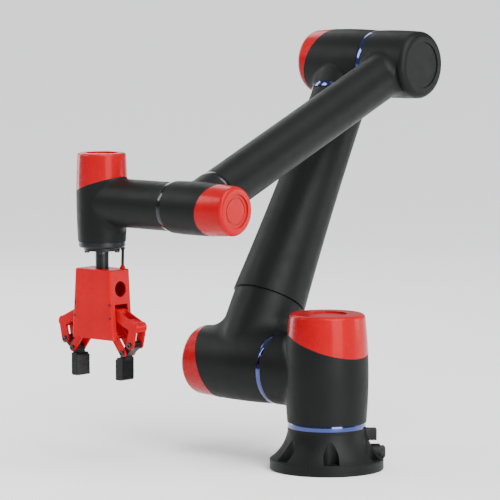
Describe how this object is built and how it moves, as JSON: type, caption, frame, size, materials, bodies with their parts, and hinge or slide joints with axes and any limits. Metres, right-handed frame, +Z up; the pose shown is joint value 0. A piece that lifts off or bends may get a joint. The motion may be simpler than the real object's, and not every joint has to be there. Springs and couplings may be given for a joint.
{
  "type": "collaborative robot arm",
  "caption": "Seven-axis collaborative robot arm with slanted red joint caps on charcoal housings, and a two-finger parallel gripper.",
  "frame": {"origin": "centre of the base flange's underside, on the first joint's axis", "axes": "+Z up along the first joint's axis, +X the reach direction of the stored pose, shoulder, elbow and wrist axes along Y"},
  "size_m": [0.6232, 0.467, 0.7207],
  "materials": {
    "charcoal_shell": "satin charcoal powder coat on cast aluminium",
    "red_cap": "satin gloss red",
    "red_gripper": "satin red anodised",
    "polished_ring": "polished, blue lacquered",
    "dark_ring": "polished black",
    "black_plastic": "matte",
    "dark_anodised": "satin black anodised",
    "black_rubber": "matte, ribbed",
    "lead_jacket": "matte",
    "machined_steel": "machined",
    "motor_parts": "lacquered"
  },
  "bodies": {
    "base": {"base_housing": "charcoal_shell", "base_joint_ring": "polished_ring", "power_socket": "black_plastic", "control_socket": "black_plastic", "joint_1_output_flange": "machined_steel"},
    "shoulder": {"shoulder_housing": "charcoal_shell", "shoulder_cap": "red_cap", "shoulder_joint_ring": "polished_ring", "joint_1_gear": "machined_steel", "joint_1_motor": "motor_parts", "joint_2_output_flange": "machined_steel"},
    "upper_arm": {"upper_arm_housing": "charcoal_shell", "upper_arm_cap": "red_cap", "upper_arm_tube": "charcoal_shell", "joint_2_gear": "machined_steel", "joint_2_motor": "motor_parts", "joint_3_motor": "motor_parts"},
    "elbow": {"elbow_housing": "charcoal_shell", "elbow_cap": "red_cap", "upper_arm_joint_ring": "polished_ring", "joint_3_output_flange": "machined_steel", "joint_4_gear": "machined_steel", "joint_4_motor": "motor_parts"},
    "forearm": {"forearm_housing": "charcoal_shell", "forearm_end_cover": "charcoal_shell", "elbow_joint_ring": "polished_ring", "joint_4_output_flange": "machined_steel", "joint_5_motor": "motor_parts"},
    "wrist": {"wrist_housing": "charcoal_shell", "wrist_cap": "red_cap", "forearm_joint_ring": "dark_ring", "joint_5_output_flange": "machined_steel", "joint_6_gear": "machined_steel", "joint_6_motor": "motor_parts"},
    "tool_head": {"tool_head_housing": "charcoal_shell", "tool_head_cap": "red_cap", "wrist_joint_ring": "dark_ring", "joint_6_output_flange": "machined_steel", "joint_7_gear": "machined_steel", "joint_7_motor": "motor_parts"},
    "gripper": {"tool_flange": "dark_anodised", "joint_7_output_flange": "machined_steel", "gripper_adapter": "dark_anodised", "adapter_screws": "machined_steel", "gripper_case": "red_gripper", "gripper_motor": "motor_parts", "gripper_pivot_pins": "machined_steel", "gripper_lead": "lead_jacket", "gripper_lead_plugs": "black_plastic"},
    "gripper_rack": {"gripper_rack": "machined_steel"},
    "right_outer_link": {"right_outer_link": "red_gripper"},
    "right_inner_link": {"right_inner_link": "red_gripper"},
    "right_finger": {"right_finger": "dark_anodised", "right_finger_pad": "black_rubber", "right_finger_pins": "machined_steel"},
    "left_outer_link": {"left_outer_link": "red_gripper"},
    "left_inner_link": {"left_inner_link": "red_gripper"},
    "left_finger": {"left_finger": "dark_anodised", "left_finger_pad": "black_rubber", "left_finger_pins": "machined_steel"}
  },
  "joints": [
    {"name": "joint_1_base", "type": "hinge", "parent": "base", "child": "shoulder", "pos_m": [0, 0, 0.0745], "axis": [0, 0, 1], "range_deg": [-360, 360]},
    {"name": "joint_2_shoulder", "type": "hinge", "parent": "shoulder", "child": "upper_arm", "pos_m": [0, -0.0995, 0.16], "axis": [0, 1, 0], "range_deg": [-41, 110]},
    {"name": "joint_3_upper_arm_roll", "type": "hinge", "parent": "upper_arm", "child": "elbow", "pos_m": [-0.24653, -0.177, 0.60474], "axis": [-0.4848, 0, 0.8746], "range_deg": [-180, 90]},
    {"name": "joint_4_elbow", "type": "hinge", "parent": "elbow", "child": "forearm", "pos_m": [-0.27828, -0.117, 0.66203], "axis": [0, 1, 0], "range_deg": [-150, 8]},
    {"name": "joint_5_forearm_roll", "type": "hinge", "parent": "forearm", "child": "wrist", "pos_m": [0.19613, -0.072, 0.46552], "axis": [0.9239, 0, -0.3827], "range_deg": [-360, 360]},
    {"name": "joint_6_wrist", "type": "hinge", "parent": "wrist", "child": "tool_head", "pos_m": [0.24279, -0.12, 0.4462], "axis": [0, 1, 0], "range_deg": [-110, 90]},
    {"name": "joint_7_tool", "type": "hinge", "parent": "tool_head", "child": "gripper", "pos_m": [0.24279, -0.283, 0.3802], "axis": [0, 0, 1], "range_deg": [-360, 360]},
    {"name": "gripper_close", "type": "hinge", "parent": "gripper", "child": "right_outer_link", "pos_m": [0.24279, -0.2463, 0.2627], "axis": [-1, 0, 0], "range_deg": [0, 41]},
    {"name": "right_inner_link_swing", "type": "hinge", "parent": "gripper", "child": "right_inner_link", "pos_m": [0.24279, -0.2633, 0.2487], "axis": [-1, 0, 0], "range_deg": [0, 41]},
    {"name": "right_finger_level", "type": "hinge", "parent": "right_outer_link", "child": "right_finger", "pos_m": [0.24279, -0.20899, 0.21318], "axis": [1, 0, 0], "range_deg": [0, 41]},
    {"name": "left_outer_link_swing", "type": "hinge", "parent": "gripper", "child": "left_outer_link", "pos_m": [0.24279, -0.3197, 0.2627], "axis": [1, 0, 0], "range_deg": [0, 41]},
    {"name": "left_inner_link_swing", "type": "hinge", "parent": "gripper", "child": "left_inner_link", "pos_m": [0.24279, -0.3027, 0.2487], "axis": [1, 0, 0], "range_deg": [0, 41]},
    {"name": "left_finger_level", "type": "hinge", "parent": "left_outer_link", "child": "left_finger", "pos_m": [0.24279, -0.35701, 0.21318], "axis": [-1, 0, 0], "range_deg": [0, 41]},
    {"name": "rack_slide", "type": "slide", "parent": "gripper", "child": "gripper_rack", "axis": [0, 0, 1], "range_m": [0, 0.0194]}
  ],
  "couplings": [
    {"joint": "right_inner_link_swing", "follows": "gripper_close", "ratio": 1},
    {"joint": "right_finger_level", "follows": "gripper_close", "ratio": 1},
    {"joint": "left_outer_link_swing", "follows": "gripper_close", "ratio": 1},
    {"joint": "left_inner_link_swing", "follows": "gripper_close", "ratio": 1},
    {"joint": "left_finger_level", "follows": "gripper_close", "ratio": 1},
    {"joint": "rack_slide", "follows": "gripper_close", "m_per_rad": 0.027}
  ]
}
